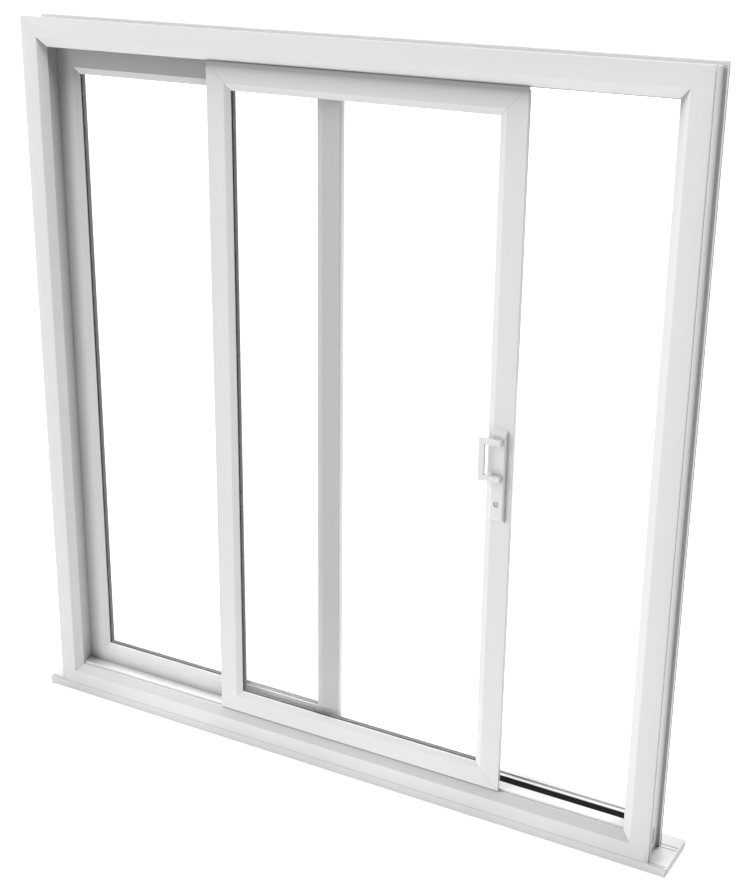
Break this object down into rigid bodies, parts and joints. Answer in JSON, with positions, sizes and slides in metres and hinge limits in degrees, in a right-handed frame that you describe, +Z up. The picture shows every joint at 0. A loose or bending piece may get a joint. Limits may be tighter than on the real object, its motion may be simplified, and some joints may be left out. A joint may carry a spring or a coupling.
{
  "type": "sliding patio door",
  "caption": "White two-leaf inline sliding patio door: bevelled frame on a projecting sill, fixed glazed leaf, sliding glazed leaf with a square pull, standing part open.",
  "frame": {"origin": "underside of the sill, in the middle of the frame's width and of the frame's depth", "axes": "+X to the right seen from the room, +Y outwards through the door, +Z up"},
  "size_m": [2.104, 0.185, 2.115],
  "materials": {
    "white_plastic": "satin white",
    "white_coated_metal": "satin white powder coat",
    "clear_glass": "clear",
    "black_spacer": "matt black",
    "black_gasket": "matt black",
    "black_infill": "matt black",
    "pile_seal": "pale grey pile",
    "nylon": "matt off-white",
    "zinc_plated_steel": "zinc plated",
    "satin_nickel": "satin"
  },
  "bodies": {
    "frame": {"head": "white_plastic", "left_jamb": "white_plastic", "right_jamb": "white_plastic", "bottom_rail": "white_plastic", "sill": "white_plastic", "sill_end_caps": "white_plastic", "tracks": "white_plastic", "track_infill": "black_infill", "head_guide": "white_plastic", "lock_keep": "zinc_plated_steel", "fixed_left_stile": "white_plastic", "fixed_right_stile": "white_plastic", "fixed_top_rail": "white_plastic", "fixed_bottom_rail": "white_plastic", "fixed_left_bead": "white_plastic", "fixed_right_bead": "white_plastic", "fixed_top_bead": "white_plastic", "fixed_bottom_bead": "white_plastic", "fixed_inner_pane": "clear_glass", "fixed_outer_pane": "clear_glass", "fixed_spacer": "black_spacer", "fixed_gaskets": "black_gasket", "meeting_seal": "pile_seal"},
    "sliding_leaf": {"sliding_left_stile": "white_plastic", "sliding_right_stile": "white_plastic", "sliding_top_rail": "white_plastic", "sliding_bottom_rail": "white_plastic", "sliding_left_bead": "white_plastic", "sliding_right_bead": "white_plastic", "sliding_top_bead": "white_plastic", "sliding_bottom_bead": "white_plastic", "sliding_inner_pane": "clear_glass", "sliding_outer_pane": "clear_glass", "sliding_spacer": "black_spacer", "sliding_gaskets": "black_gasket", "running_seals": "pile_seal", "roller_carriages": "zinc_plated_steel", "rollers": "nylon", "top_guides": "nylon", "handle_backplate": "white_coated_metal", "pull_handle": "white_coated_metal", "lock_cylinder": "satin_nickel", "outside_escutcheon": "white_coated_metal", "lock_faceplate": "zinc_plated_steel"}
  },
  "joints": [
    {"name": "leaf_slide", "type": "slide", "parent": "frame", "child": "sliding_leaf", "axis": [1, 0, 0], "range_m": [-0.5365, 0.364]}
  ]
}
